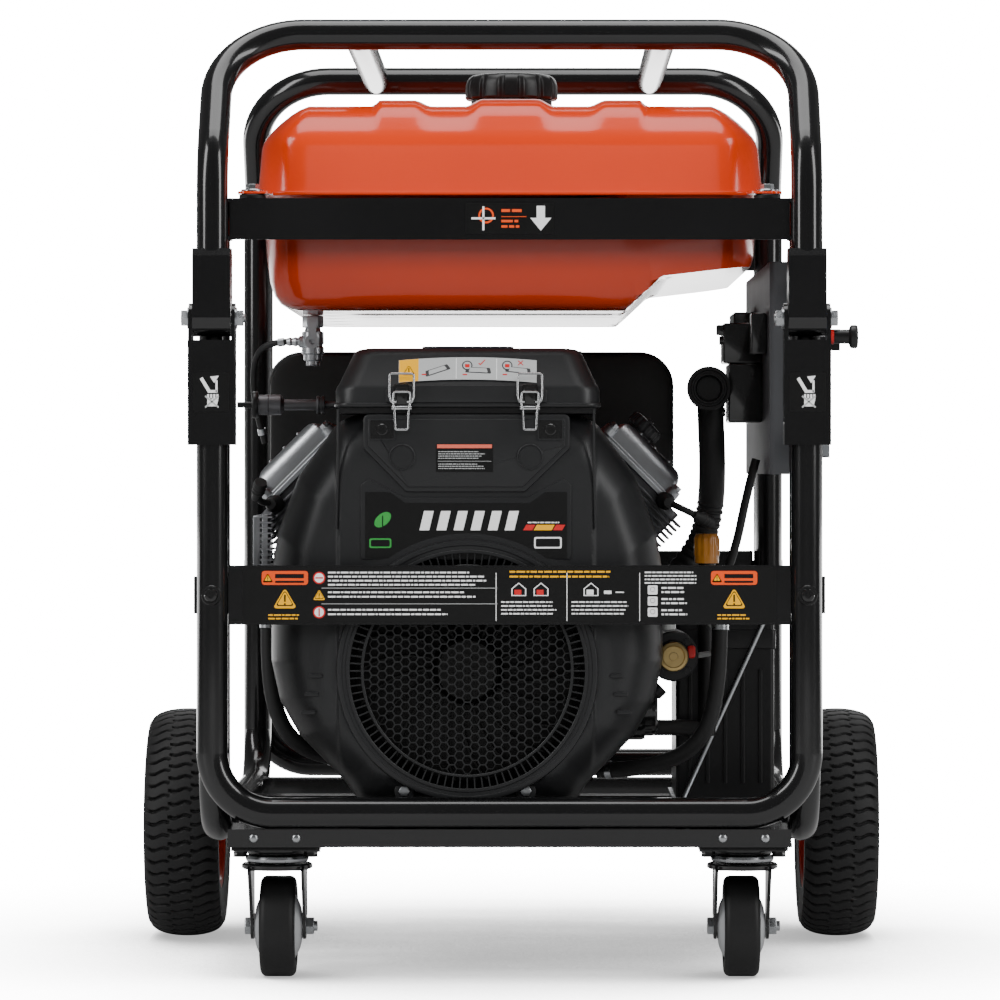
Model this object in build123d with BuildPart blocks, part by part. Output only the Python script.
from build123d import *

import math
import os

os.makedirs("parts", exist_ok=True)

# ---------------------------------------------------------------------------------------------
# Driving dimensions, in millimetres. X to the right, Y from the engine end to the rear, Z up.
# ---------------------------------------------------------------------------------------------
TUBE_R = 17.0  # frame tube, outside
TUBE_WALL = 2.0
POST_X = 321.0  # centre lines of the frame tubes, left and right
END_Y = 440.0  # centre planes of the front and rear frames
SIDE_Y = 402.0  # legs of the side frames
SIDE_Z = 163.0  # bottom tubes of the side frames
CROSS_Z = 183.5  # bottom tubes of the front and rear frames
BEND = 65.0  # centre line radius of the lower frame bends
POST_TOP = 690.0
SIDE_TOP = 849.0
HOOP_KNEE_Z = 887.0  # where the hoops start to lean
HOOP_TOP_Y = 320.0
HOOP_TOP_Z = 1035.0
HOOP_BEND = 93.0
KNEE_BEND = 90.0
RAIL_X = 169.0

PIVOT_Z = 718.0  # handle pivots
PIVOT_R = 5.0
TONGUE_WIDE = 41.0
TONGUE_R = 20.0
TONGUE_TOP = 793.0
CHANNEL_IN = 21.2  # half of the inside width of a hinge channel
PLATE = 4.0
CHANNEL_LOW = 581.0
CHANNEL_HIGH = 694.0
EAR_R = 16.0
LOCK_Z = 698.0
BOLT_Z = 419.0  # bolts of the guard bars

CASTER_X = 253.0
CASTER_Y = -402.0  # swivel axis
CASTER_TRAIL = 32.0
CASTER_R = 55.0
CASTER_WIDE = 39.0
CASTER_TOP = 147.0

TYRE_R = 135.0
TYRE_WIDE = 87.0
TYRE_IN = 342.0  # inner face of each tyre
RIM_R = 78.0
AXLE_Y = 85.0
AXLE_Z = 135.0
AXLE_R = 10.0
AXLE_END = 409.0

CRANK_X = -46.0  # crankshaft axis, along Y
CRANK_Z = 336.0
SHAFT_R = 20.0
RUN = 0.06  # radial clearance of a running fit

SHROUD_FRONT = -418.0
SHROUD_BACK = -300.0
CASE_FRONT = -290.0
CASE_BACK = -70.0
HOUSING_R = 140.0
HOUSING_END = 330.0

TANK_X = 281.0
TANK_Y = 368.0
TANK_TOP = 959.0
TANK_SEAM = 856.0
TANK_LOW = 730.0
BAR_LOW = 804.0


def save(part, label):
    """Labels a finished piece and writes it."""
    part.label = label
    export_step(part, f"parts/{label}.step")


def tube(points, radii, outer, inner=0.0):
    """A round tube along straight runs joined by arcs, added to the part being built."""
    with BuildLine() as path:
        FilletPolyline(*points, radius=radii)
    start = path.line @ 0
    with BuildSketch(Plane(origin=start, z_dir=path.line % 0)) as section:
        Circle(outer)
        if inner:
            Circle(inner, mode=Mode.SUBTRACT)
    sweep(sections=section.sketch, path=path.line)


def rod(start, end, radius, inner=0.0, mode=Mode.ADD):
    """A straight round bar or tube between two points."""
    axis = Vector(end) - Vector(start)
    with BuildSketch(Plane(origin=start, z_dir=axis)) as section:
        Circle(radius)
        if inner:
            Circle(inner, mode=Mode.SUBTRACT)
    extrude(section.sketch, amount=axis.length, mode=mode)


def block(low, high, mode=Mode.ADD, round_edges=0.0, axis=Axis.Z):
    """A box between two corners, with the edges along one axis rounded."""
    size = [b - a for a, b in zip(low, high)]
    middle = tuple((a + b) / 2 for a, b in zip(low, high))
    with BuildPart(mode=Mode.PRIVATE) as solid:
        with Locations(middle):
            Box(*size)
        if round_edges:
            fillet(solid.edges().filter_by(axis), round_edges)
    add(solid.part, mode=mode)


def arc_radii(points):
    """The radius of each bend of a cord: 0.45 of its shorter run over the tangent of half the turn."""
    places = [Vector(*p) for p in points]
    radii = []
    for before, here, after in zip(places, places[1:], places[2:]):
        run_in = here - before
        run_out = after - here
        half_turn = math.radians(run_in.get_angle(run_out)) / 2
        radii.append(0.45 * min(run_in.length, run_out.length) / math.tan(half_turn))
    return radii


def cord(name, points, radius):
    """A cord along hand-placed points, with its tightest bend printed."""
    radii = arc_radii(points)
    print(name, "tightest bend", round(min(radii), 1), "at", 2 * radius, "mm thick")
    tube(points, radii, radius)


# ---------------------------------------------------------------------------------------------
# Frame
# ---------------------------------------------------------------------------------------------
for side, sign in (("left", -1), ("right", 1)):
    with BuildPart() as side_frame:
        tube(
            [
                (sign * POST_X, -SIDE_Y, SIDE_TOP),
                (sign * POST_X, -SIDE_Y, SIDE_Z),
                (sign * POST_X, SIDE_Y, SIDE_Z),
                (sign * POST_X, SIDE_Y, SIDE_TOP),
            ],
            BEND,
            TUBE_R,
            TUBE_R - TUBE_WALL,
        )
    save(side_frame.part, f"side_frame_{side}")

U_POINTS = [(-POST_X, POST_TOP), (-POST_X, CROSS_Z), (POST_X, CROSS_Z), (POST_X, POST_TOP)]

with BuildPart() as front_frame:
    tube([(x, -END_Y, z) for x, z in U_POINTS], BEND, TUBE_R, TUBE_R - TUBE_WALL)
    for sign in (-1, 1):
        with Locations((sign * POST_X, -END_Y, BOLT_Z)):
            Cylinder(4.1, 3 * TUBE_R, rotation=(90, 0, 0), mode=Mode.SUBTRACT)
save(front_frame.part, "front_frame")

with BuildPart() as rear_frame:
    tube([(x, END_Y, z) for x, z in U_POINTS], BEND, TUBE_R, TUBE_R - TUBE_WALL)
    for sign in (-1, 1):
        with Locations((sign * POST_X, END_Y, BOLT_Z)):
            Cylinder(4.1, 3 * TUBE_R, rotation=(90, 0, 0), mode=Mode.SUBTRACT)
    tube(
        [
            (-POST_X, END_Y, POST_TOP),
            (-POST_X, END_Y, HOOP_KNEE_Z),
            (-POST_X, HOOP_TOP_Y, HOOP_TOP_Z),
            (POST_X, HOOP_TOP_Y, HOOP_TOP_Z),
            (POST_X, END_Y, HOOP_KNEE_Z),
            (POST_X, END_Y, POST_TOP),
        ],
        [KNEE_BEND, HOOP_BEND, HOOP_BEND, KNEE_BEND],
        TUBE_R,
        TUBE_R - TUBE_WALL,
    )
save(rear_frame.part, "rear_frame")

with BuildPart() as top_rails:
    for x in (-RAIL_X, RAIL_X):
        rod((x, -HOOP_TOP_Y + TUBE_R + 2, HOOP_TOP_Z), (x, HOOP_TOP_Y, HOOP_TOP_Z), 16.0, 14.0)
    with BuildPart(mode=Mode.PRIVATE) as cope:
        rod((-POST_X, HOOP_TOP_Y, HOOP_TOP_Z), (POST_X, HOOP_TOP_Y, HOOP_TOP_Z), TUBE_R + 0.05)
    add(cope.part, mode=Mode.SUBTRACT)
save(top_rails.part, "top_rails")

# Each hinge channel wraps the front of a post, and its ears stand up on both sides of the handle.
with BuildPart() as hinge_channels:
    for sign in (-1, 1):
        x = sign * POST_X
        web_y = -END_Y - TUBE_R
        block(
            (x - CHANNEL_IN - PLATE, web_y - PLATE, CHANNEL_LOW),
            (x + CHANNEL_IN + PLATE, web_y, CHANNEL_HIGH),
        )
        for ear in (-1, 1):
            inner = x + ear * CHANNEL_IN
            outer = inner + ear * PLATE
            block((min(inner, outer), web_y, CHANNEL_LOW), (max(inner, outer), -END_Y + 14.0, CHANNEL_HIGH))
            with BuildSketch(Plane(origin=(inner, -END_Y, 0), x_dir=(0, 1, 0), z_dir=(1, 0, 0))) as ear_face:
                with BuildLine():
                    Polyline(
                        (-EAR_R, CHANNEL_HIGH),
                        (EAR_R, CHANNEL_HIGH),
                        (EAR_R, PIVOT_Z),
                    )
                    CenterArc((0, PIVOT_Z), EAR_R, 0, 180)
                    Line((-EAR_R, PIVOT_Z), (-EAR_R, CHANNEL_HIGH))
                make_face()
                with Locations((0, PIVOT_Z)):
                    Circle(PIVOT_R + RUN, mode=Mode.SUBTRACT)
            extrude(ear_face.sketch, amount=ear * PLATE)
    rod((POST_X, -END_Y, LOCK_Z), (POST_X + 40, -END_Y, LOCK_Z), 4.0 + RUN, mode=Mode.SUBTRACT)
save(hinge_channels.part, "hinge_channels")

# The caster beam, two engine rails and the axle brackets tie the two side frames together.
BEAM_IN = POST_X - TUBE_R
with BuildPart() as cross_members:
    block((-BEAM_IN, -448.0, CASTER_TOP), (BEAM_IN, -352.0, CROSS_Z - TUBE_R - 0.1))
    block((-BEAM_IN + 3, -445.0, CASTER_TOP - 1), (BEAM_IN - 3, -355.0, CROSS_Z - TUBE_R - 3), mode=Mode.SUBTRACT)
    for sign in (-1, 1):
        block(
            (sign * CASTER_X - 52, -445.0, CASTER_TOP),
            (sign * CASTER_X + 52, -355.0, CASTER_TOP + 4),
        )
    for y in (-205.0, -60.0, 235.0):
        block((-BEAM_IN, y - 20, SIDE_Z - 14), (BEAM_IN, y + 20, SIDE_Z + 14))
        block((-BEAM_IN - 1, y - 16, SIDE_Z - 15), (BEAM_IN + 1, y + 16, SIDE_Z + 10), mode=Mode.SUBTRACT)
    for sign in (-1, 1):
        low_x = min(sign * 306.0, sign * 336.0)
        block((low_x, AXLE_Y - 30, AXLE_Z - 18), (low_x + 30, AXLE_Y + 30, SIDE_Z - 6))
    for sign in (-1, 1):
        rod((sign * POST_X, 0, SIDE_Z), (sign * POST_X, 2 * AXLE_Y, SIDE_Z), TUBE_R + 0.05, mode=Mode.SUBTRACT)
        rod((sign * 300.0, AXLE_Y, AXLE_Z), (sign * 340.0, AXLE_Y, AXLE_Z), AXLE_R + RUN, mode=Mode.SUBTRACT)
save(cross_members.part, "cross_members")

with BuildPart() as tank_bars:
    for sign in (-1, 1):
        face = sign * (SIDE_Y + TUBE_R - 2)
        back = sign * (SIDE_Y + TUBE_R - 2 - PLATE)
        shelf = sign * 373.0
        block((-BEAM_IN, min(face, back), BAR_LOW), (BEAM_IN, max(face, back), SIDE_TOP))
        block((-BEAM_IN, min(back, shelf), SIDE_TOP - PLATE), (BEAM_IN, max(back, shelf), SIDE_TOP))
        for x in (-TANK_X, TANK_X):
            with Locations((x, sign * 384.0, SIDE_TOP)):
                Cylinder(5.2, 30, mode=Mode.SUBTRACT)
    for x in (-POST_X, POST_X):
        for y in (-SIDE_Y, SIDE_Y):
            rod((x, y, BAR_LOW - 10), (x, y, SIDE_TOP + 10), TUBE_R + 0.05, mode=Mode.SUBTRACT)
save(tank_bars.part, "tank_bars")

LABEL_LOW, LABEL_HIGH = 387.0, 451.0
with BuildPart() as guard_bars:
    for end in (-1, 1):
        bar_y = end * END_Y
        block((-BEAM_IN + 1, bar_y - 1.5, LABEL_LOW), (BEAM_IN - 1, bar_y + 1.5, LABEL_HIGH))
        for sign in (-1, 1):
            with BuildSketch(Plane.XY.offset(BOLT_Z - 20)) as saddle:
                with Locations((sign * POST_X, bar_y)):
                    Circle(TUBE_R + 3.0)
                    Circle(TUBE_R + 0.1, mode=Mode.SUBTRACT)
                with Locations((sign * POST_X, bar_y + end * 18)):
                    Rectangle(60, 36, mode=Mode.SUBTRACT)
            extrude(saddle.sketch, amount=40)
            with Locations((sign * POST_X, bar_y, BOLT_Z)):
                Cylinder(4.2, 60, rotation=(90, 0, 0), mode=Mode.SUBTRACT)
save(guard_bars.part, "guard_bars")

with BuildPart() as wheel_axle:
    rod((-AXLE_END, AXLE_Y, AXLE_Z), (AXLE_END, AXLE_Y, AXLE_Z), AXLE_R)
save(wheel_axle.part, "wheel_axle")

# ---------------------------------------------------------------------------------------------
# Handle and its lock
# ---------------------------------------------------------------------------------------------
with BuildPart() as handle:
    tube(
        [
            (-POST_X, -END_Y, TONGUE_TOP - 4),
            (-POST_X, -END_Y, HOOP_KNEE_Z),
            (-POST_X, -HOOP_TOP_Y, HOOP_TOP_Z),
            (POST_X, -HOOP_TOP_Y, HOOP_TOP_Z),
            (POST_X, -END_Y, HOOP_KNEE_Z),
            (POST_X, -END_Y, TONGUE_TOP - 4),
        ],
        [KNEE_BEND, HOOP_BEND, HOOP_BEND, KNEE_BEND],
        TUBE_R,
        TUBE_R - TUBE_WALL,
    )
    for x in (-POST_X, POST_X):
        with BuildSketch(Plane(origin=(x - TONGUE_WIDE / 2, -END_Y, 0), x_dir=(0, 1, 0), z_dir=(1, 0, 0))) as tongue:
            with BuildLine():
                Polyline(
                    (TONGUE_R, PIVOT_Z),
                    (TONGUE_R, TONGUE_TOP - 8),
                    (TONGUE_R - 5, TONGUE_TOP),
                    (-TONGUE_R + 5, TONGUE_TOP),
                    (-TONGUE_R, TONGUE_TOP - 8),
                    (-TONGUE_R, PIVOT_Z),
                )
                CenterArc((0, PIVOT_Z), TONGUE_R, 180, 180)
            make_face()
            with Locations((0, PIVOT_Z)):
                Circle(PIVOT_R + RUN, mode=Mode.SUBTRACT)
        extrude(tongue.sketch, amount=TONGUE_WIDE)
save(handle.part, "handle")

with BuildPart() as lock_plunger:
    ear_in = POST_X + CHANNEL_IN
    rod((ear_in, -END_Y, LOCK_Z), (ear_in + 26, -END_Y, LOCK_Z), 4.0)
    rod((ear_in + 16, -END_Y, LOCK_Z), (ear_in + 26, -END_Y, LOCK_Z), 8.0)
    rod((ear_in + 26, -END_Y, LOCK_Z), (ear_in + 34, -END_Y, LOCK_Z), 13.0)
save(lock_plunger.part, "lock_plunger")

# ---------------------------------------------------------------------------------------------
# Casters
# ---------------------------------------------------------------------------------------------
FORK_IN = 27.0  # half of the space between the fork's cheeks
PLATES = []
for side, sign in (("left", -1), ("right", 1)):
    x, y = sign * CASTER_X, CASTER_Y
    with BuildPart() as caster_plate:
        with Locations((x, y, CASTER_TOP - 2)):
            Box(96, 84, 4)
        with Locations((x, y, CASTER_TOP - 8)):
            Cylinder(30, 8)
        with Locations((x, y, CASTER_TOP - 22)):
            Cylinder(8, 28)
    PLATES.append(caster_plate.part)
    axle_y = y + CASTER_TRAIL
    with BuildPart() as caster_fork:
        with Locations((x, y, CASTER_TOP - 19)):
            Cylinder(33, 8)
        block((x - FORK_IN - 3, y - 30, CASTER_TOP - 26), (x + FORK_IN + 3, y + 42, CASTER_TOP - 22))
        for cheek in (-1, 1):
            with BuildSketch(Plane(origin=(x + cheek * FORK_IN, 0, 0), x_dir=(0, 1, 0), z_dir=(1, 0, 0))) as cheek_face:
                with BuildLine():
                    Polyline(
                        (axle_y - 13, CASTER_R),
                        (y - 30, CASTER_TOP - 24),
                        (y + 42, CASTER_TOP - 24),
                        (axle_y + 13, CASTER_R),
                    )
                    CenterArc((axle_y, CASTER_R), 13, 180, 180)
                make_face()
            extrude(cheek_face.sketch, amount=cheek * 3.0)
        rod((x - FORK_IN - 3, axle_y, CASTER_R), (x + FORK_IN + 3, axle_y, CASTER_R), 6.0)
        for head in (-1, 1):
            with BuildSketch(Plane(origin=(x + head * (FORK_IN + 3), axle_y, CASTER_R), z_dir=(head, 0, 0))) as hexagon:
                RegularPolygon(9.5, 6)
            extrude(hexagon.sketch, amount=9.0)
        with Locations((x, y, CASTER_TOP - 22)):
            Cylinder(8 + RUN, 40, mode=Mode.SUBTRACT)
    save(caster_fork.part, f"caster_fork_{side}")
    with BuildPart() as caster_wheel:
        with BuildSketch(Plane.XZ) as profile:
            with BuildLine():
                half = CASTER_WIDE / 2
                Polyline(
                    (half + 6, 6 + RUN),
                    (half + 6, 14),
                    (half, 38),
                    (half, CASTER_R - 8),
                )
                ThreePointArc((half, CASTER_R - 8), (half - 3, CASTER_R - 2.5), (half - 9, CASTER_R))
                Line((half - 9, CASTER_R), (-half + 9, CASTER_R))
                ThreePointArc((-half + 9, CASTER_R), (-half + 3, CASTER_R - 2.5), (-half, CASTER_R - 8))
                Polyline(
                    (-half, CASTER_R - 8),
                    (-half, 38),
                    (-half - 6, 14),
                    (-half - 6, 6 + RUN),
                    (half + 6, 6 + RUN),
                )
            make_face()
        revolve(axis=Axis.X)
    wheel = caster_wheel.part.moved(Location((x, axle_y, CASTER_R)))
    save(wheel, f"caster_wheel_{side}")

with BuildPart() as caster_plates:
    for plate in PLATES:
        add(plate)
save(caster_plates.part, "caster_plates")

# ---------------------------------------------------------------------------------------------
# Road wheels: a tyre on a rim, turning together on the fixed axle
# ---------------------------------------------------------------------------------------------
for side, sign in (("left", -1), ("right", 1)):
    middle_x = sign * (TYRE_IN + TYRE_WIDE / 2)
    place = Location((middle_x, AXLE_Y, AXLE_Z))
    half = TYRE_WIDE / 2
    with BuildPart() as tyre:
        with BuildSketch(Plane.XZ) as section:
            with BuildLine():
                Line((-half + 12, RIM_R), (half - 12, RIM_R))
                ThreePointArc((half - 12, RIM_R), (half, RIM_R + 26), (half - 6, TYRE_R - 12))
                ThreePointArc((half - 6, TYRE_R - 12), (0, TYRE_R), (-half + 6, TYRE_R - 12))
                ThreePointArc((-half + 6, TYRE_R - 12), (-half, RIM_R + 26), (-half + 12, RIM_R))
            make_face()
        revolve(axis=Axis.X)
    save(tyre.part.moved(place), f"tyre_{side}")
    with BuildPart() as rim:
        rod((-half + 10, 0, 0), (half - 10, 0, 0), RIM_R, RIM_R - 4)
        rod((-4, 0, 0), (0, 0, 0), RIM_R - 3.9, 18.0)
        rod((-sign * (half - 4), 0, 0), (sign * (half - 22), 0, 0), 20.0, AXLE_R + RUN)
    save(rim.part.moved(place), f"rim_{side}")

# ---------------------------------------------------------------------------------------------
# Fuel system
# ---------------------------------------------------------------------------------------------
with BuildPart() as tank_upper:
    block((-TANK_X, -TANK_Y, TANK_SEAM), (TANK_X, TANK_Y, TANK_TOP), round_edges=60)
    fillet(tank_upper.edges().group_by(Axis.Z)[-1], 38)
    offset(amount=-2.0, openings=tank_upper.faces().sort_by(Axis.Z)[0])
    with BuildSketch(Plane.XY.offset(TANK_SEAM)) as flange:
        RectangleRounded(2 * TANK_X + 8, 2 * TANK_Y + 8, 62)
        RectangleRounded(2 * TANK_X - 4, 2 * TANK_Y - 4, 58, mode=Mode.SUBTRACT)
    extrude(flange.sketch, amount=2.0)
    for x in (-TANK_X, TANK_X):
        for sign in (-1, 1):
            tab_y = sign * 384.0
            block(
                (x - 16, min(sign * (TANK_Y - 60), tab_y + sign * 14), TANK_SEAM),
                (x + 16, max(sign * (TANK_Y - 60), tab_y + sign * 14), TANK_SEAM + 2),
            )
            with Locations((x, tab_y, TANK_SEAM)):
                Cylinder(4.6, 20, mode=Mode.SUBTRACT)
    block((-TANK_X + 2, -TANK_Y + 2, TANK_SEAM - 1), (TANK_X - 2, TANK_Y - 2, TANK_SEAM + 20), mode=Mode.SUBTRACT, round_edges=58)
    rod((0, 0, TANK_TOP - 6), (0, 0, TANK_TOP + 22), 42.0)
    rod((0, 0, TANK_TOP - 8), (0, 0, TANK_TOP + 23), 39.0, mode=Mode.SUBTRACT)
save(tank_upper.part, "tank_upper")

with BuildPart() as tank_lower:
    block((-TANK_X + 8, -TANK_Y + 8, TANK_LOW), (TANK_X - 8, TANK_Y - 8, TANK_SEAM - 0.1), round_edges=58)
    fillet(tank_lower.edges().group_by(Axis.Z)[0], 26)
    with BuildSketch(Plane.XZ) as rise:
        Polygon((128, TANK_LOW - 1), (168, TANK_LOW + 37), (280, TANK_LOW + 50), (280, TANK_LOW - 1), align=None)
    extrude(rise.sketch, amount=TANK_Y + 20, both=True, mode=Mode.SUBTRACT)
    inside = TANK_Y - 12
    with BuildPart(mode=Mode.PRIVATE) as hollow:
        block((-TANK_X + 12, -inside, TANK_LOW + 3), (TANK_X - 12, inside, TANK_SEAM + 1), round_edges=54)
        with BuildSketch(Plane.XZ) as inner_rise:
            Polygon((122, TANK_LOW + 2), (164, TANK_LOW + 42), (280, TANK_LOW + 56), (280, TANK_LOW + 2), align=None)
        extrude(inner_rise.sketch, amount=TANK_Y + 20, both=True, mode=Mode.SUBTRACT)
        fillet(hollow.edges().filter_by(Axis.Y).group_by(Axis.Z)[0], 20)
    add(hollow.part, mode=Mode.SUBTRACT)
    with BuildSketch(Plane.XY.offset(TANK_SEAM - 2.1)) as lower_flange:
        RectangleRounded(2 * TANK_X + 8, 2 * TANK_Y + 8, 62)
        RectangleRounded(2 * TANK_X - 20, 2 * TANK_Y - 20, 56, mode=Mode.SUBTRACT)
    extrude(lower_flange.sketch, amount=2.0)
save(tank_lower.part, "tank_lower")

FOOT_PLACES = [(-150.0, -205.0), (58.0, -205.0), (-150.0, 235.0), (58.0, 235.0)]
RAIL_TOP = SIDE_Z + 14
with BuildPart() as rubber_mounts:
    for x in (-TANK_X, TANK_X):
        for y in (-384.0, 384.0):
            rod((x, y, SIDE_TOP + 0.1), (x, y, TANK_SEAM - 2.2), 14.0, 4.6)
    for x, y in FOOT_PLACES:
        rod((x, y, RAIL_TOP + 0.1), (x, y, 195.0), 20.0, 5.2)
save(rubber_mounts.part, "rubber_mounts")

CAP_LOW = TANK_TOP + 27
with BuildPart() as fuel_cap:
    rod((0, 0, CAP_LOW), (0, 0, CAP_LOW + 30), 55.5)
    rod((0, 0, CAP_LOW - 1), (0, 0, CAP_LOW + 22), 51.0, mode=Mode.SUBTRACT)
    rod((0, 0, TANK_TOP + 6), (0, 0, CAP_LOW + 23), 38.5, 36.0)
    chamfer(fuel_cap.edges().group_by(Axis.Z)[-1], 5)
    with PolarLocations(56.5, 18):
        with Locations((0, 0, CAP_LOW + 12)):
            Cylinder(3.0, 30, mode=Mode.SUBTRACT)
save(fuel_cap.part, "fuel_cap")

VALVE_X, VALVE_Y = -226.0, -150.0
with BuildPart() as fuel_valve:
    rod((VALVE_X, VALVE_Y, TANK_LOW - 0.1), (VALVE_X, VALVE_Y, TANK_LOW - 8), 13.0)
    rod((VALVE_X, VALVE_Y, TANK_LOW - 8), (VALVE_X, VALVE_Y, 700.0), 9.0)
    block((VALVE_X - 13, VALVE_Y - 11, 692.0), (VALVE_X + 13, VALVE_Y + 11, 708.0))
    rod((VALVE_X, VALVE_Y, 692.0), (VALVE_X, VALVE_Y, 672.0), 14.0)
    rod((VALVE_X - 12, VALVE_Y, 700.0), (VALVE_X - 28, VALVE_Y, 700.0), 3.6)
    rod((VALVE_X, VALVE_Y - 10, 700.0), (VALVE_X, VALVE_Y - 19, 700.0), 3.5)
save(fuel_valve.part, "fuel_valve")

with BuildPart() as fuel_lever:
    rod((VALVE_X, VALVE_Y - 12, 700.0), (VALVE_X, VALVE_Y - 18, 700.0), 8.0)
    block((VALVE_X - 4.5, VALVE_Y - 18, 700.0), (VALVE_X + 4.5, VALVE_Y - 14, 728.0 - 6))
    rod((VALVE_X, VALVE_Y - 10, 700.0), (VALVE_X, VALVE_Y - 20, 700.0), 3.5 + RUN, mode=Mode.SUBTRACT)
save(fuel_lever.part, "fuel_lever")

# ---------------------------------------------------------------------------------------------
# Engine
# ---------------------------------------------------------------------------------------------
CASE_HALF = 138.0
DIP_X, DIP_Y = 222.0, -190.0  # filler tube and dipstick
DECK = 110.0  # from the crankshaft axis to each cylinder deck
BARREL_END = 235.0
HEAD_END = 285.0
COVER_END = 320.0
BANKS = (("left", -1, -190.0), ("right", 1, -160.0))


def bank_plane(sign, y, distance):
    """The plane across one bank of the vee, a distance from the crankshaft axis, its X along the crankshaft."""
    outward = Vector(sign, 0, 1).normalized()
    return Plane(origin=Vector(CRANK_X, y, CRANK_Z) + outward * distance, x_dir=(0, 1, 0), z_dir=outward)


with BuildPart() as crankcase:
    deck_a = DECK * math.sqrt(2) - CASE_HALF
    with BuildSketch(Plane(origin=(CRANK_X, CASE_FRONT, CRANK_Z), x_dir=(1, 0, 0), z_dir=(0, 1, 0))) as case_face:
        Polygon(
            (-CASE_HALF, 128.0),
            (CASE_HALF, 128.0),
            (CASE_HALF, -deck_a),
            (deck_a, -CASE_HALF),
            (-deck_a, -CASE_HALF),
            (-CASE_HALF, -deck_a),
            align=None,
        )
    extrude(case_face.sketch, amount=CASE_BACK - CASE_FRONT)
    rod((CRANK_X, CASE_FRONT + 14, CRANK_Z), (CRANK_X, CASE_BACK - 14, CRANK_Z), 92.0, mode=Mode.SUBTRACT)
    rod((CRANK_X, CASE_FRONT - 1, CRANK_Z), (CRANK_X, CASE_BACK + 1, CRANK_Z), SHAFT_R + RUN, mode=Mode.SUBTRACT)
    for sign, y in ((bank[1], bank[2]) for bank in BANKS):
        outward = Vector(sign, 0, 1).normalized()
        centre = Vector(CRANK_X, y, CRANK_Z)
        rod(centre + outward * 60, centre + outward * 130, 40.0, mode=Mode.SUBTRACT)
    for x, y in FOOT_PLACES[:2]:
        block((x - 22, y - 22, 195.1), (x + 22, y + 22, 215.0))
    # The filler tube stands beside the crankcase.
    rod((CRANK_X + CASE_HALF - 4, -190.0, 262.0), (DIP_X, DIP_Y, 262.0), 9.0)
    rod((DIP_X, DIP_Y, 253.0), (DIP_X, DIP_Y, 448.0), 10.0)
    rod((DIP_X, DIP_Y, 262.0), (DIP_X, DIP_Y, 449.0), 7.5, mode=Mode.SUBTRACT)
save(crankcase.part, "crankcase")

with BuildPart() as cylinders:
    for _, sign, y in BANKS:
        with BuildSketch(bank_plane(sign, y, DECK + 0.1)) as barrel:
            Circle(52)
            Circle(38, mode=Mode.SUBTRACT)
        extrude(barrel.sketch, amount=BARREL_END - DECK - 0.2)
        for fin in range(9):
            with BuildSketch(bank_plane(sign, y, DECK + 8 + 13 * fin)) as fin_face:
                RectangleRounded(124, 136, 12)
                Circle(51, mode=Mode.SUBTRACT)
            extrude(fin_face.sketch, amount=4)
save(cylinders.part, "cylinders")

with BuildPart() as cylinder_heads:
    for _, sign, y in BANKS:
        with BuildSketch(bank_plane(sign, y, BARREL_END)) as head:
            with Locations((0, sign * 10)):
                RectangleRounded(120, 140, 10)
        extrude(head.sketch, amount=HEAD_END - BARREL_END - 0.1)
save(cylinder_heads.part, "cylinder_heads")

with BuildPart() as head_covers:
    for _, sign, y in BANKS:
        with BuildSketch(bank_plane(sign, y, HEAD_END)) as cover:
            with Locations((0, sign * 24)):
                RectangleRounded(104, 112, 14)
        extrude(cover.sketch, amount=COVER_END - HEAD_END, taper=12)
save(head_covers.part, "head_covers")

with BuildPart() as crankshaft:
    rod((CRANK_X, -398.0, CRANK_Z), (CRANK_X, HOUSING_END - 6, CRANK_Z), SHAFT_R)
    for web_y in (-258.0, -206.0, -154.0, -102.0):
        rod((CRANK_X, web_y, CRANK_Z), (CRANK_X, web_y + 14, CRANK_Z), 72.0)
save(crankshaft.part, "crankshaft")

with BuildPart() as fan_flywheel:
    rod((CRANK_X, -344.0, CRANK_Z), (CRANK_X, -336.0, CRANK_Z), 124.0, SHAFT_R)
    rod((CRANK_X, -372.0, CRANK_Z), (CRANK_X, -344.0, CRANK_Z), 34.0, SHAFT_R)
    with Locations(Plane(origin=(CRANK_X, -360.0, CRANK_Z), x_dir=(1, 0, 0), z_dir=(0, -1, 0))):
        with PolarLocations(96.0, 16):
            Box(48, 3, 32)
save(fan_flywheel.part, "fan_flywheel")

# The blower shroud: a hollow moulding open at the back, with a round mouth for the fan.
SHROUD_PLANE = Plane(origin=(CRANK_X + 3, SHROUD_FRONT, 0), x_dir=(1, 0, 0), z_dir=(0, -1, 0))


def shroud_outline(inset):
    """The shroud's outline in its own plane, drawn in by an inset."""
    with BuildSketch() as outline:
        with BuildLine():
            Line((-144, 615), (144, 615))
            ThreePointArc((144, 615), (194, 563), (216, 497))
            Line((216, 497), (216, 381))
            ThreePointArc((216, 381), (180, 296), (118, 223))
            Polyline((118, 223), (111, 196), (-111, 196), (-118, 223))
            ThreePointArc((-118, 223), (-180, 296), (-216, 381))
            Line((-216, 381), (-216, 497))
            ThreePointArc((-216, 497), (-194, 563), (-144, 615))
        make_face()
        if inset:
            offset(amount=-inset, kind=Kind.INTERSECTION)
    return outline.sketch


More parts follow.
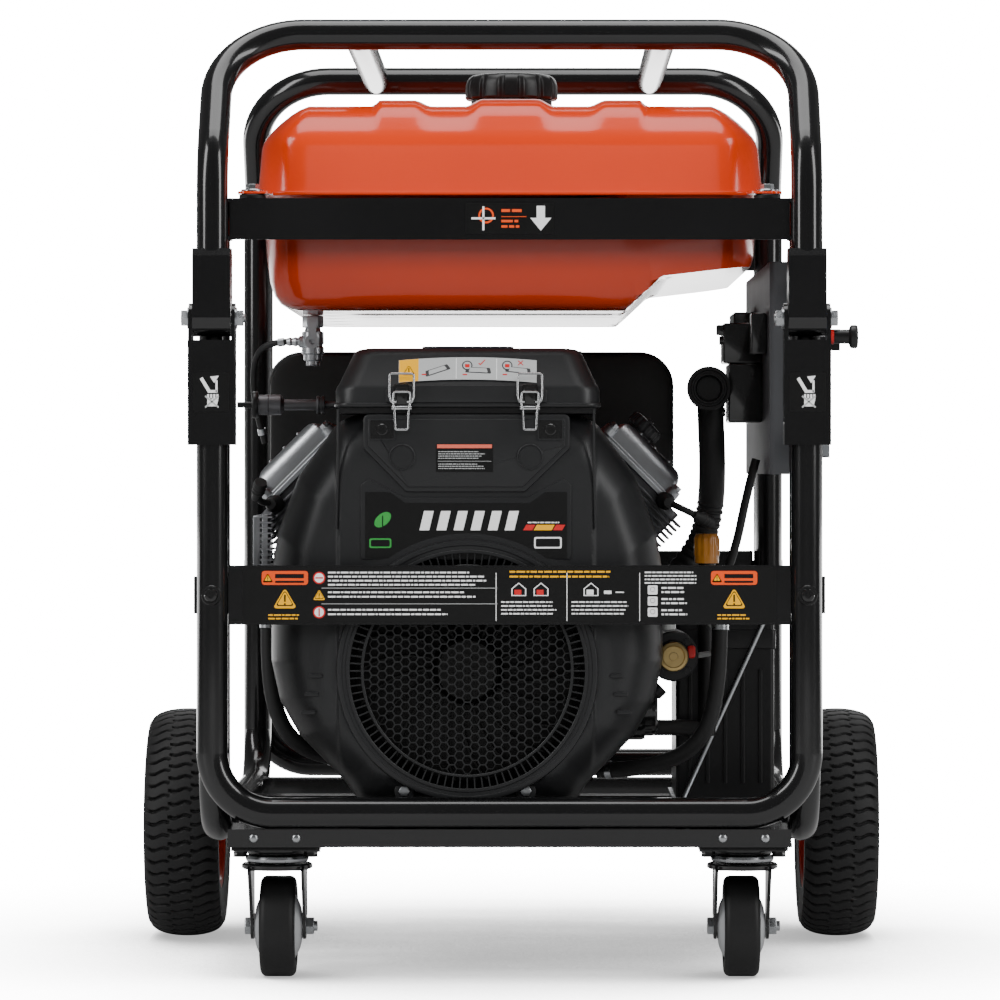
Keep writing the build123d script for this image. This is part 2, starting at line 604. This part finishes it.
with BuildPart() as blower_shroud:
    with BuildSketch(SHROUD_PLANE) as face:
        add(shroud_outline(12))
    with BuildSketch(SHROUD_PLANE.offset(-14)) as shoulder:
        add(shroud_outline(0))
    loft(sections=[face.sketch, shoulder.sketch])
    extrude(shoulder.sketch, amount=SHROUD_FRONT + 14 - SHROUD_BACK)
    with BuildSketch(SHROUD_PLANE.offset(-4)) as inner:
        add(shroud_outline(15))
    extrude(inner.sketch, amount=SHROUD_FRONT - SHROUD_BACK, mode=Mode.SUBTRACT)
    with BuildSketch(SHROUD_PLANE.offset(-30)) as wide_inner:
        add(shroud_outline(4))
    extrude(wide_inner.sketch, amount=SHROUD_FRONT - SHROUD_BACK, mode=Mode.SUBTRACT)
    rod((CRANK_X, SHROUD_FRONT - 1, CRANK_Z), (CRANK_X, SHROUD_FRONT + 10, CRANK_Z), 132.0, mode=Mode.SUBTRACT)
save(blower_shroud.part, "blower_shroud")

with BuildPart() as fan_screen:
    with BuildSketch(Plane(origin=(CRANK_X, SHROUD_FRONT + 6, CRANK_Z), x_dir=(1, 0, 0), z_dir=(0, -1, 0))) as screen:
        Circle(131.5)
        for radius, count in ((24, 8), (46, 14), (68, 20), (90, 26), (112, 32)):
            with PolarLocations(radius, count):
                Circle(8.0, mode=Mode.SUBTRACT)
    extrude(screen.sketch, amount=6)
save(fan_screen.part, "fan_screen")

FILTER_X = (-190.0, 98.0)
FILTER_Y = (-412.0, -225.0)
with BuildPart() as filter_base:
    block((FILTER_X[0] + 4, FILTER_Y[0] + 6, 615.5), (FILTER_X[1] - 4, FILTER_Y[1], 622.0))
    rod((CRANK_X, -245.0, 615.5), (CRANK_X, -245.0, 600.0), 26.0)
save(filter_base.part, "filter_base")

with BuildPart() as filter_cover:
    for low, high, taper in ((622.4, 646.0, 0.0), (646.0, 686.0, 22.0)):
        with BuildSketch(Plane.XY.offset(low)) as lower_face:
            with Locations(((FILTER_X[0] + FILTER_X[1]) / 2, (FILTER_Y[0] + FILTER_Y[1]) / 2)):
                RectangleRounded(FILTER_X[1] - FILTER_X[0], FILTER_Y[1] - FILTER_Y[0], 20)
        with BuildSketch(Plane.XY.offset(high)) as upper_face:
            with Locations(((FILTER_X[0] + FILTER_X[1]) / 2, (FILTER_Y[0] + FILTER_Y[1]) / 2)):
                RectangleRounded(
                    FILTER_X[1] - FILTER_X[0] - 2 * taper,
                    FILTER_Y[1] - FILTER_Y[0] - 2 * taper,
                    20,
                )
        loft(sections=[lower_face.sketch, upper_face.sketch])
    block((FILTER_X[0] + 4, FILTER_Y[0] + 4, 622.0), (FILTER_X[1] - 4, FILTER_Y[1] - 4, 646.0), mode=Mode.SUBTRACT)
save(filter_cover.part, "filter_cover")

LATCH_TOP, LATCH_LOW = 657.0, 600.0
for side, x in (("left", -117.0), ("right", 22.0)):
    with BuildPart() as latch:
        latch_y = FILTER_Y[0] - 8.0
        rod((x - 14, latch_y, LATCH_TOP), (x + 14, latch_y, LATCH_TOP), 1.8)
        block((x - 13, latch_y - 3, 622.0), (x + 13, latch_y - 1, LATCH_TOP - 1))
        block((x - 7, latch_y - 4, LATCH_LOW), (x + 7, latch_y - 1, 630.0))
    save(latch.part, f"latch_{side}")

with BuildPart() as carburettor:
    rod((CRANK_X, -245.0, 599.8), (CRANK_X, -245.0, 560.0), 24.0)
    block((CRANK_X - 30, -275.0, 520.0), (CRANK_X + 30, -215.0, 575.0))
    rod((CRANK_X, -245.0, 520.0), (CRANK_X, -245.0, 492.0), 20.0)
save(carburettor.part, "carburettor")

LEFT_LEAD = [(-262.0, -250.6, 516.0), (-266.0, -274.0, 516.0), (-284.0, -292.0, 520.0), (-276.0, -312.0, 540.0)]
RIGHT_LEAD = [(172.0, -220.8, 520.0), (176.0, -242.0, 518.0), (202.0, -256.0, 506.0), (226.0, -238.0, 494.0)]
with BuildPart() as ignition_leads:
    cord("ignition lead left", LEFT_LEAD, 4.0)
    cord("ignition lead right", RIGHT_LEAD, 4.0)
save(ignition_leads.part, "ignition_leads")

with BuildPart() as oil_filter:
    rod((92.2, -240.0, 284.0), (165.0, -240.0, 284.0), 33.0)
save(oil_filter.part, "oil_filter")

STARTER_X, STARTER_Z = 181.0, 347.0
with BuildPart() as starter_motor:
    rod((STARTER_X, -296.0, STARTER_Z), (STARTER_X, -215.0, STARTER_Z), 28.0)
    rod((STARTER_X, -310.0, STARTER_Z), (STARTER_X, -296.0, STARTER_Z), 17.0)
    block((93.0, -262.0, STARTER_Z - 10), (STARTER_X - 10, -222.0, STARTER_Z + 10))
save(starter_motor.part, "starter_motor")

with BuildPart() as voltage_regulator:
    block((-286.0, -310.0, 440.0), (-280.0, -253.0, 504.0))
    for step in range(8):
        low_z = 442.0 + 7.6 * step
        block((-280.0, -310.0, low_z), (-263.0, -253.0, low_z + 3.4))
save(voltage_regulator.part, "voltage_regulator")

with BuildPart() as dipstick:
    rod((DIP_X, DIP_Y, 448.3), (DIP_X, DIP_Y, 482.0), 14.0)
    rod((DIP_X, DIP_Y, 270.0), (DIP_X, DIP_Y, 450.0), 2.5)
save(dipstick.part, "dipstick")

SOLENOID_Y, SOLENOID_Z = -235.0, 627.0
with BuildPart() as throttle_solenoid:
    rod((-290.0, SOLENOID_Y, SOLENOID_Z), (-283.0, SOLENOID_Y, SOLENOID_Z), 15.0)
    rod((-283.0, SOLENOID_Y, SOLENOID_Z), (-256.0, SOLENOID_Y, SOLENOID_Z), 11.5)
    rod((-256.0, SOLENOID_Y, SOLENOID_Z), (-218.0, SOLENOID_Y, SOLENOID_Z), 6.0)
    rod((-218.0, SOLENOID_Y, SOLENOID_Z), (-208.0, SOLENOID_Y, SOLENOID_Z), 10.0)
save(throttle_solenoid.part, "throttle_solenoid")

# ---------------------------------------------------------------------------------------------
# Alternator, muffler, hoses
# ---------------------------------------------------------------------------------------------
HOUSING_START = CASE_BACK + 0.1
with BuildPart() as alternator_housing:
    rod((CRANK_X, HOUSING_START, CRANK_Z), (CRANK_X, HOUSING_END, CRANK_Z), HOUSING_R)
    rod((CRANK_X, HOUSING_START - 1, CRANK_Z), (CRANK_X, HOUSING_END - 8, CRANK_Z), HOUSING_R - 8, mode=Mode.SUBTRACT)
    rod((CRANK_X, HOUSING_END - 30, CRANK_Z), (CRANK_X, HOUSING_END - 7, CRANK_Z), 40.0)
    rod((CRANK_X, HOUSING_END - 40, CRANK_Z), (CRANK_X, HOUSING_END - 4, CRANK_Z), SHAFT_R + RUN, mode=Mode.SUBTRACT)
    with BuildSketch(Plane(origin=(CRANK_X, HOUSING_END + 1, CRANK_Z), x_dir=(1, 0, 0), z_dir=(0, -1, 0))) as vents:
        with PolarLocations(85.0, 20):
            SlotOverall(60, 9)
    extrude(vents.sketch, amount=12, mode=Mode.SUBTRACT)
    for x, y in FOOT_PLACES[2:]:
        block((x - 22, y - 24, 195.1), (x + 22, y + 24, 212.0))
    block((-168.0, 215.0, 205.0), (76.0, 255.0, 217.0))
    rod((CRANK_X, 200.0, CRANK_Z), (CRANK_X, 270.0, CRANK_Z), HOUSING_R - 8, mode=Mode.SUBTRACT)
save(alternator_housing.part, "alternator_housing")

with BuildPart() as alternator_stator:
    rod((CRANK_X, 20.0, CRANK_Z), (CRANK_X, 220.0, CRANK_Z), HOUSING_R - 8.05, 90.0)
save(alternator_stator.part, "alternator_stator")

with BuildPart() as alternator_rotor:
    rod((CRANK_X, 24.0, CRANK_Z), (CRANK_X, 216.0, CRANK_Z), 88.5, SHAFT_R)
save(alternator_rotor.part, "alternator_rotor")

MUFFLER_WALL = 2.0
MUFFLER_LOW, MUFFLER_HIGH = (-284.0, 0.0, 520.0), (188.0, 170.0, 690.0)
with BuildPart() as muffler:
    with BuildPart(mode=Mode.PRIVATE) as drum:
        block(MUFFLER_LOW, MUFFLER_HIGH, round_edges=38, axis=Axis.Y)
        fillet(drum.edges().filter_by(Axis.Y, reverse=True), 6)
    add(drum.part)
    with BuildPart(mode=Mode.PRIVATE) as hollow:
        block(
            [low + MUFFLER_WALL for low in MUFFLER_LOW],
            [high - MUFFLER_WALL for high in MUFFLER_HIGH],
            round_edges=36,
            axis=Axis.Y,
        )
        fillet(hollow.edges().filter_by(Axis.Y, reverse=True), 4)
    add(hollow.part, mode=Mode.SUBTRACT)
    rod((150.0, 169.0, 620.0), (150.0, 225.0, 620.0), 20.0)
    rod((150.0, 160.0, 620.0), (150.0, 226.0, 620.0), 17.0, mode=Mode.SUBTRACT)
    for x, y in ((-205.0, -100.0), (113.0, -70.0)):
        rod((x, y, 560.0), (x, 1.0, 560.0), 19.0)
        rod((x, y - 1, 560.0), (x, 10.0, 560.0), 16.5, mode=Mode.SUBTRACT)
save(muffler.part, "muffler")

FUEL_HOSE = [
    (-254.8, -150.0, 700.0),
    (-276.0, -148.0, 699.0),
    (-292.0, -132.0, 686.0),
    (-297.0, -112.0, 658.0),
    (-294.0, -96.0, 622.0),
    (-284.0, -88.0, 585.0),
]
LEFT_HOSE = [
    (-268.0, -290.0, 400.0),
    (-270.0, -292.0, 330.0),
    (-256.0, -292.0, 268.0),
    (-224.0, -285.0, 238.0),
    (-188.8, -270.0, 232.0),
]
RIGHT_HOSE = [
    (233.0, -285.0, 400.0),
    (234.0, -287.0, 322.0),
    (214.0, -289.0, 246.0),
    (146.0, -280.0, 219.0),
    (98.0, -262.0, 219.0),
]
with BuildPart() as hoses:
    cord("fuel hose", FUEL_HOSE, 3.5)
    cord("breather hose", LEFT_HOSE, 9.0)
    cord("drain hose", RIGHT_HOSE, 9.0)
save(hoses.part, "hoses")

# ---------------------------------------------------------------------------------------------
# Electrical
# ---------------------------------------------------------------------------------------------
BATTERY_LOW = (188.0, -160.0, RAIL_TOP + 3.2)
BATTERY_HIGH = (300.0, 20.0, 380.0)
with BuildPart() as battery:
    block(BATTERY_LOW, BATTERY_HIGH, round_edges=5)
    for x in (206.0, 282.0):
        rod((x, 0.0, BATTERY_HIGH[2]), (x, 0.0, BATTERY_HIGH[2] + 14), 8.0)
save(battery.part, "battery")

with BuildPart() as battery_clamp:
    block((184.0, -225.0, RAIL_TOP + 0.1), (304.0 - 0.5, 24.0, RAIL_TOP + 3.1))
    rod((290.0, -164.0, 386.0), (196.0, -164.0, RAIL_TOP + 3.0), 3.0)
    block((240.0, -168.0, 380.2), (268.0, 24.0, 383.2))
    block((268.0, -168.0, 380.2), (300.0, -160.5, 383.2))
save(battery_clamp.part, "battery_clamp")

PANEL_IN, PANEL_OUT = 288.0, 336.0
PANEL_LOW, PANEL_HIGH = 549.0, 785.0
PANEL_Y = 300.0
with BuildPart() as panel_box:
    block((PANEL_IN, -PANEL_Y, PANEL_LOW), (PANEL_OUT, PANEL_Y, PANEL_HIGH), round_edges=6)
    block((PANEL_IN - 1, -PANEL_Y + 3, PANEL_LOW + 3), (PANEL_OUT - 3, PANEL_Y - 3, PANEL_HIGH - 3), mode=Mode.SUBTRACT)
    block((PANEL_IN, -PANEL_Y + 2.5, PANEL_LOW + 2.5), (PANEL_IN + 1.5, PANEL_Y - 2.5, PANEL_HIGH - 2.5))
    for y_from, y_to in ((-SIDE_Y + TUBE_R, -PANEL_Y), (PANEL_Y, SIDE_Y - TUBE_R)):
        for z in (PANEL_LOW + 20, PANEL_HIGH - 50):
            block((POST_X - 8, y_from, z), (POST_X - 4, y_to, z + 30))
    # Holes for the moving controls
    rod((PANEL_OUT - 5, -235.0, 700.0), (PANEL_OUT + 1, -235.0, 700.0), 9.0 + RUN, mode=Mode.SUBTRACT)
    block((PANEL_OUT - 5, -171.0, 675.0), (PANEL_OUT + 1, -149.0, 725.0), mode=Mode.SUBTRACT)
save(panel_box.part, "panel_box")

SOCKETS = ((-60.0, 700.0), (40.0, 700.0), (140.0, 700.0), (40.0, 608.0), (140.0, 608.0))
LID_PLACE = (-60.0, 608.0)
with BuildPart() as panel_sockets:
    for y, z in SOCKETS:
        rod((PANEL_OUT, y, z), (PANEL_OUT + 22, y, z), 36.0)
        rod((PANEL_OUT + 8, y, z), (PANEL_OUT + 23, y, z), 22.0, mode=Mode.SUBTRACT)
    lid_y, lid_z = LID_PLACE
    block((PANEL_OUT, lid_y - 38, lid_z - 38), (PANEL_OUT + 20, lid_y + 38, lid_z + 30))
    block((PANEL_OUT, lid_y - 12, lid_z + 30), (PANEL_OUT + 26, lid_y + 12, lid_z + 46))
    rod((PANEL_OUT + 8, lid_y, lid_z - 4), (PANEL_OUT + 21, lid_y, lid_z - 4), 24.0, mode=Mode.SUBTRACT)
    rod((PANEL_OUT + 23, lid_y - 13, lid_z + 38), (PANEL_OUT + 23, lid_y + 13, lid_z + 38), 2.5 + RUN, mode=Mode.SUBTRACT)
    block((PANEL_OUT, 222.0, 660.0), (PANEL_OUT + 12, 282.0, 720.0))
save(panel_sockets.part, "panel_sockets")

with BuildPart() as socket_lid:
    rod((PANEL_OUT + 23, lid_y - 30, lid_z + 38), (PANEL_OUT + 23, lid_y + 30, lid_z + 38), 2.5)
    for cheek_y in (lid_y - 26, lid_y + 20):
        block((PANEL_OUT + 20.5, cheek_y, lid_z + 28), (PANEL_OUT + 30, cheek_y + 6, lid_z + 42))
    block((PANEL_OUT + 26.5, lid_y - 38, lid_z - 40), (PANEL_OUT + 31, lid_y + 38, lid_z + 29))
    block((PANEL_OUT + 20.5, lid_y - 38, lid_z - 38), (PANEL_OUT + 27, lid_y + 38, lid_z + 29))
save(socket_lid.part, "socket_lid")

with BuildPart() as key_switch:
    rod((PANEL_OUT - 4, -235.0, 700.0), (PANEL_OUT + 12, -235.0, 700.0), 9.0)
    block((PANEL_OUT + 12, -237.0, 688.0), (PANEL_OUT + 34, -233.0, 712.0))
save(key_switch.part, "key_switch")

with BuildPart() as main_breaker:
    rod((PANEL_OUT - 6, -170.0, 700.0), (PANEL_OUT - 6, -150.0, 700.0), 9.0)
    block((PANEL_OUT - 6, -169.0, 696.0), (PANEL_OUT + 12, -151.0, 704.0))
save(main_breaker.part, "main_breaker")

CONDUIT = [
    (228.0, -148.0, 640.0),
    (229.0, -112.0, 618.0),
    (232.0, -104.0, 560.0),
    (230.0, -96.0, 505.0),
    (214.0, -86.0, 455.0),
    (180.0, -84.0, 420.0),
]
PANEL_CABLE = [
    (280.0, -140.0, 566.0),
    (268.0, -142.0, 520.0),
    (258.0, -146.0, 470.0),
    (242.0, -140.0, 424.0),
    (224.0, -124.0, 392.0),
]
with BuildPart() as wiring_conduit:
    cord("wiring conduit", CONDUIT, 13.0)
    cord("panel cable", PANEL_CABLE, 5.0)
save(wiring_conduit.part, "wiring_conduit")

# ---------------------------------------------------------------------------------------------
# Fasteners of the frame: pivot bolts, label bolts, axle nuts, beam bolts, tank bolts
# ---------------------------------------------------------------------------------------------


def hexagon_head(centre, axis, across, thick):
    """A hexagon bolt head or nut that stands on a face."""
    with BuildSketch(Plane(origin=centre, z_dir=axis)) as head:
        RegularPolygon(across / math.sqrt(3), 6)
    extrude(head.sketch, amount=thick)


with BuildPart() as frame_bolts:
    for sign in (-1, 1):
        x = sign * POST_X
        reach = CHANNEL_IN + PLATE
        rod((x - reach - 10, -END_Y, PIVOT_Z), (x + reach + 10, -END_Y, PIVOT_Z), PIVOT_R)
        hexagon_head((x - reach, -END_Y, PIVOT_Z), (-1, 0, 0), 17.0, 7.0)
        hexagon_head((x + reach, -END_Y, PIVOT_Z), (1, 0, 0), 17.0, 7.0)
        for end in (-1, 1):
            face = end * (END_Y + TUBE_R)
            rod((x, end * (END_Y - TUBE_R), BOLT_Z), (x, face, BOLT_Z), 4.0)
            rod((x, face, BOLT_Z), (x, face + end * 2, BOLT_Z), 11.0)
            rod((x, face + end * 2, BOLT_Z), (x, face + end * 8, BOLT_Z), 8.0)
        for offset_x in (-23.0, 23.0):
            rod((sign * CASTER_X + offset_x, -448.0, 157.0), (sign * CASTER_X + offset_x, -452.0, 157.0), 5.5)
        hexagon_head((sign * (AXLE_END + 0.1), AXLE_Y, AXLE_Z), (sign, 0, 0), 24.0, 9.0)
        for y in (-384.0, 384.0):
            bolt_x = sign * TANK_X
            rod((bolt_x, y, SIDE_TOP - 14), (bolt_x, y, TANK_SEAM + 6), 4.2)
            rod((bolt_x, y, TANK_SEAM + 2.1), (bolt_x, y, TANK_SEAM + 4), 12.0)
            hexagon_head((bolt_x, y, TANK_SEAM + 4), (0, 0, 1), 13.0, 6.0)
save(frame_bolts.part, "frame_bolts")
